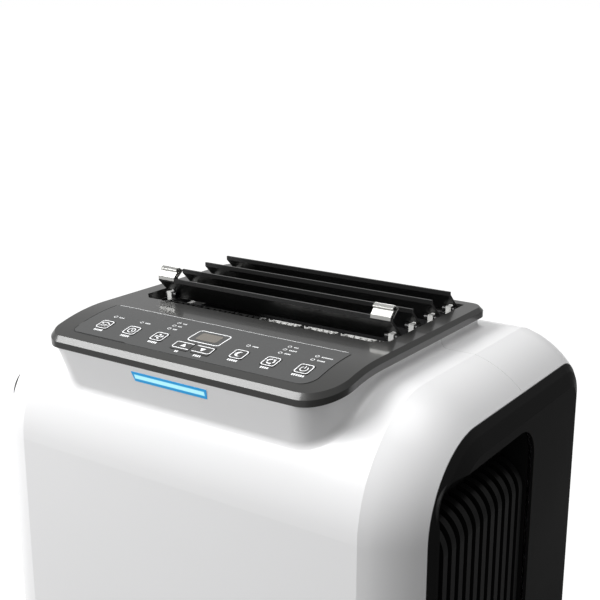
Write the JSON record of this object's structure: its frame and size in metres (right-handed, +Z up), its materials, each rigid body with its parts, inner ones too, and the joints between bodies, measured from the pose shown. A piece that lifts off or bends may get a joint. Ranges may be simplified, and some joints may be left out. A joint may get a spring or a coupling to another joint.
{
  "type": "portable air conditioner and dehumidifier",
  "caption": "Floor-standing room cooler and dehumidifier: white casing, black side intakes, sloping key deck and tilting top louvres, on casters.",
  "frame": {"origin": "on the floor under the middle of the casing", "axes": "+Z up, front towards -Y, +X to the unit's right as seen from the front"},
  "size_m": [0.42, 0.304, 0.6828],
  "materials": {
    "white_shell": "glossy moulded ABS",
    "black_panel": "satin black moulding",
    "black_grille": "satin black ribs",
    "black_base": "matt black moulding",
    "charcoal_deck": "fine satin charcoal moulding",
    "overlay_film": "matt printed film",
    "smoked_window": "smoked lens",
    "circuit_board": "solder mask",
    "light_bar": "lit translucent lens",
    "black_duct": "matt black moulding",
    "white_moulding": "natural white acetal",
    "bright_clip": "bright spring steel",
    "bare_steel": "zinc plated can",
    "coil_fins": "bare fin stock",
    "compressor_paint": "black enamel",
    "foam_grey": "grey moulding",
    "copper_pipe": "drawn copper tube",
    "key_cap": "matt cap with printed sign",
    "louvre_black": "satin black blade",
    "caster_tread": "hard rubber tread"
  },
  "bodies": {
    "root": {"front_cover": "white_shell", "rear_cover": "white_shell", "right_side_panel": "black_panel", "left_side_panel": "black_panel", "right_grille": "black_grille", "left_grille": "black_grille", "rear_panel": "black_panel", "base_pan": "black_base", "control_deck": "charcoal_deck", "control_overlay": "overlay_film", "display_window": "smoked_window", "control_board": "circuit_board", "light_bar": "light_bar", "outlet_duct": "black_duct", "louvre_bushes": "white_moulding", "swing_motor": "bare_steel", "exhaust_collar": "black_duct", "evaporator_coil": "coil_fins", "condenser_coil": "coil_fins", "compressor": "compressor_paint", "upper_blower_housing": "foam_grey", "lower_blower_housing": "foam_grey", "fan_motors": "bare_steel", "divider_shelf": "foam_grey", "refrigerant_pipes": "copper_pipe", "screws": "bright_clip"},
    "louvre_1": {"louvre_1": "louvre_black", "louvre_clips": "bright_clip"},
    "louvre_2": {"louvre_2": "louvre_black"},
    "louvre_3": {"louvre_3": "louvre_black"},
    "louvre_4": {"louvre_4": "louvre_black"},
    "louvre_link": {"louvre_link": "black_duct"},
    "swing_crank": {"swing_crank": "white_moulding"},
    "vane_1": {"vane_1": "louvre_black"},
    "vane_2": {"vane_2": "louvre_black"},
    "vane_3": {"vane_3": "louvre_black"},
    "vane_4": {"vane_4": "louvre_black"},
    "vane_5": {"vane_5": "louvre_black"},
    "vane_6": {"vane_6": "louvre_black"},
    "vane_7": {"vane_7": "louvre_black"},
    "vane_link": {"vane_link": "white_moulding"},
    "key_swing": {"key_swing": "key_cap"},
    "key_timer": {"key_timer": "key_cap"},
    "key_speed": {"key_speed": "key_cap"},
    "key_up": {"key_up": "key_cap"},
    "key_down": {"key_down": "key_cap"},
    "key_sleep": {"key_sleep": "key_cap"},
    "key_mode": {"key_mode": "key_cap"},
    "key_power": {"key_power": "key_cap"},
    "upper_blower_wheel": {"upper_blower_wheel": "black_duct"},
    "lower_blower_wheel": {"lower_blower_wheel": "black_duct"},
    "filter_cassette": {"filter_cassette": "black_grille"},
    "caster_fork_front_left": {"caster_fork_front_left": "black_base"},
    "caster_wheel_front_left": {"caster_wheel_front_left": "caster_tread"},
    "caster_fork_front_right": {"caster_fork_front_right": "black_base"},
    "caster_wheel_front_right": {"caster_wheel_front_right": "caster_tread"},
    "caster_fork_rear_left": {"caster_fork_rear_left": "black_base"},
    "caster_wheel_rear_left": {"caster_wheel_rear_left": "caster_tread"},
    "caster_fork_rear_right": {"caster_fork_rear_right": "black_base"},
    "caster_wheel_rear_right": {"caster_wheel_rear_right": "caster_tread"}
  },
  "joints": [
    {"name": "louvre_1_tilt", "type": "hinge", "parent": "root", "child": "louvre_1", "pos_m": [0, -0.0203, 0.6565], "axis": [1, 0, 0], "range_deg": [-25, 45]},
    {"name": "louvre_2_tilt", "type": "hinge", "parent": "root", "child": "louvre_2", "pos_m": [0, 0.0111, 0.6565], "axis": [1, 0, 0], "range_deg": [-25, 45]},
    {"name": "louvre_3_tilt", "type": "hinge", "parent": "root", "child": "louvre_3", "pos_m": [0, 0.0425, 0.6565], "axis": [1, 0, 0], "range_deg": [-25, 45]},
    {"name": "louvre_4_tilt", "type": "hinge", "parent": "root", "child": "louvre_4", "pos_m": [0, 0.0739, 0.6565], "axis": [1, 0, 0], "range_deg": [-25, 45]},
    {"name": "louvre_link_pin", "type": "hinge", "parent": "louvre_1", "child": "louvre_link", "pos_m": [0.1181, -0.02596, 0.65084], "axis": [1, 0, 0], "range_deg": [-45, 25]},
    {"name": "swing_crank_turn", "type": "hinge", "parent": "root", "child": "swing_crank", "pos_m": [0.115, -0.0203, 0.625], "axis": [1, 0, 0], "range_deg": [-25, 45]},
    {"name": "vane_1_turn", "type": "hinge", "parent": "root", "child": "vane_1", "pos_m": [-0.1035, -0.041, 0.64], "axis": [0, 0, 1], "range_deg": [-20, 20]},
    {"name": "vane_2_turn", "type": "hinge", "parent": "root", "child": "vane_2", "pos_m": [-0.069, -0.041, 0.64], "axis": [0, 0, 1], "range_deg": [-20, 20]},
    {"name": "vane_3_turn", "type": "hinge", "parent": "root", "child": "vane_3", "pos_m": [-0.0345, -0.041, 0.64], "axis": [0, 0, 1], "range_deg": [-20, 20]},
    {"name": "vane_4_turn", "type": "hinge", "parent": "root", "child": "vane_4", "pos_m": [0, -0.041, 0.64], "axis": [0, 0, 1], "range_deg": [-20, 20]},
    {"name": "vane_5_turn", "type": "hinge", "parent": "root", "child": "vane_5", "pos_m": [0.0345, -0.041, 0.64], "axis": [0, 0, 1], "range_deg": [-20, 20]},
    {"name": "vane_6_turn", "type": "hinge", "parent": "root", "child": "vane_6", "pos_m": [0.069, -0.041, 0.64], "axis": [0, 0, 1], "range_deg": [-20, 20]},
    {"name": "vane_7_turn", "type": "hinge", "parent": "root", "child": "vane_7", "pos_m": [0.1035, -0.041, 0.64], "axis": [0, 0, 1], "range_deg": [-20, 20]},
    {"name": "vane_link_pin", "type": "hinge", "parent": "vane_4", "child": "vane_link", "pos_m": [0, -0.0255, 0.6518], "axis": [0, 0, 1], "range_deg": [-20, 20]},
    {"name": "key_swing_press", "type": "slide", "parent": "root", "child": "key_swing", "axis": [0, 0.2206, -0.9754], "range_m": [0, 0.0005], "stiffness_N_per_m": 400, "springref_m": -0.0005},
    {"name": "key_timer_press", "type": "slide", "parent": "root", "child": "key_timer", "axis": [0, 0.2206, -0.9754], "range_m": [0, 0.0005], "stiffness_N_per_m": 400, "springref_m": -0.0005},
    {"name": "key_speed_press", "type": "slide", "parent": "root", "child": "key_speed", "axis": [0, 0.2206, -0.9754], "range_m": [0, 0.0005], "stiffness_N_per_m": 400, "springref_m": -0.0005},
    {"name": "key_up_press", "type": "slide", "parent": "root", "child": "key_up", "axis": [0, 0.2444, -0.9697], "range_m": [0, 0.0005], "stiffness_N_per_m": 400, "springref_m": -0.0005},
    {"name": "key_down_press", "type": "slide", "parent": "root", "child": "key_down", "axis": [0, 0.2444, -0.9697], "range_m": [0, 0.0005], "stiffness_N_per_m": 400, "springref_m": -0.0005},
    {"name": "key_sleep_press", "type": "slide", "parent": "root", "child": "key_sleep", "axis": [0, 0.2206, -0.9754], "range_m": [0, 0.0005], "stiffness_N_per_m": 400, "springref_m": -0.0005},
    {"name": "key_mode_press", "type": "slide", "parent": "root", "child": "key_mode", "axis": [0, 0.2206, -0.9754], "range_m": [0, 0.0005], "stiffness_N_per_m": 400, "springref_m": -0.0005},
    {"name": "key_power_press", "type": "slide", "parent": "root", "child": "key_power", "axis": [0, 0.2206, -0.9754], "range_m": [0, 0.0005], "stiffness_N_per_m": 400, "springref_m": -0.0005},
    {"name": "upper_blower_spin", "type": "hinge", "parent": "root", "child": "upper_blower_wheel", "pos_m": [0, 0.015, 0.452], "axis": [1, 0, 0], "continuous": true},
    {"name": "lower_blower_spin", "type": "hinge", "parent": "root", "child": "lower_blower_wheel", "pos_m": [0, -0.02, 0.25], "axis": [1, 0, 0], "continuous": true},
    {"name": "filter_pull", "type": "slide", "parent": "root", "child": "filter_cassette", "axis": [0, 1, 0], "range_m": [0, 0.03]},
    {"name": "caster_swivel_front_left", "type": "hinge", "parent": "root", "child": "caster_fork_front_left", "pos_m": [-0.165, -0.112, 0.045], "axis": [0, 0, 1], "continuous": true},
    {"name": "caster_roll_front_left", "type": "hinge", "parent": "caster_fork_front_left", "child": "caster_wheel_front_left", "pos_m": [-0.165, -0.098, 0.017], "axis": [1, 0, 0], "continuous": true},
    {"name": "caster_swivel_front_right", "type": "hinge", "parent": "root", "child": "caster_fork_front_right", "pos_m": [0.165, -0.112, 0.045], "axis": [0, 0, 1], "continuous": true},
    {"name": "caster_roll_front_right", "type": "hinge", "parent": "caster_fork_front_right", "child": "caster_wheel_front_right", "pos_m": [0.165, -0.098, 0.017], "axis": [1, 0, 0], "continuous": true},
    {"name": "caster_swivel_rear_left", "type": "hinge", "parent": "root", "child": "caster_fork_rear_left", "pos_m": [-0.165, 0.112, 0.045], "axis": [0, 0, 1], "continuous": true},
    {"name": "caster_roll_rear_left", "type": "hinge", "parent": "caster_fork_rear_left", "child": "caster_wheel_rear_left", "pos_m": [-0.165, 0.126, 0.017], "axis": [1, 0, 0], "continuous": true},
    {"name": "caster_swivel_rear_right", "type": "hinge", "parent": "root", "child": "caster_fork_rear_right", "pos_m": [0.165, 0.112, 0.045], "axis": [0, 0, 1], "continuous": true},
    {"name": "caster_roll_rear_right", "type": "hinge", "parent": "caster_fork_rear_right", "child": "caster_wheel_rear_right", "pos_m": [0.165, 0.126, 0.017], "axis": [1, 0, 0], "continuous": true}
  ],
  "couplings": [
    {"joint": "louvre_2_tilt", "follows": "louvre_1_tilt", "ratio": 1},
    {"joint": "louvre_3_tilt", "follows": "louvre_1_tilt", "ratio": 1},
    {"joint": "louvre_4_tilt", "follows": "louvre_1_tilt", "ratio": 1},
    {"joint": "louvre_link_pin", "follows": "louvre_1_tilt", "ratio": -1},
    {"joint": "swing_crank_turn", "follows": "louvre_1_tilt", "ratio": 1},
    {"joint": "vane_1_turn", "follows": "vane_4_turn", "ratio": 1},
    {"joint": "vane_2_turn", "follows": "vane_4_turn", "ratio": 1},
    {"joint": "vane_3_turn", "follows": "vane_4_turn", "ratio": 1},
    {"joint": "vane_5_turn", "follows": "vane_4_turn", "ratio": 1},
    {"joint": "vane_6_turn", "follows": "vane_4_turn", "ratio": 1},
    {"joint": "vane_7_turn", "follows": "vane_4_turn", "ratio": 1},
    {"joint": "vane_link_pin", "follows": "vane_4_turn", "ratio": -1}
  ]
}
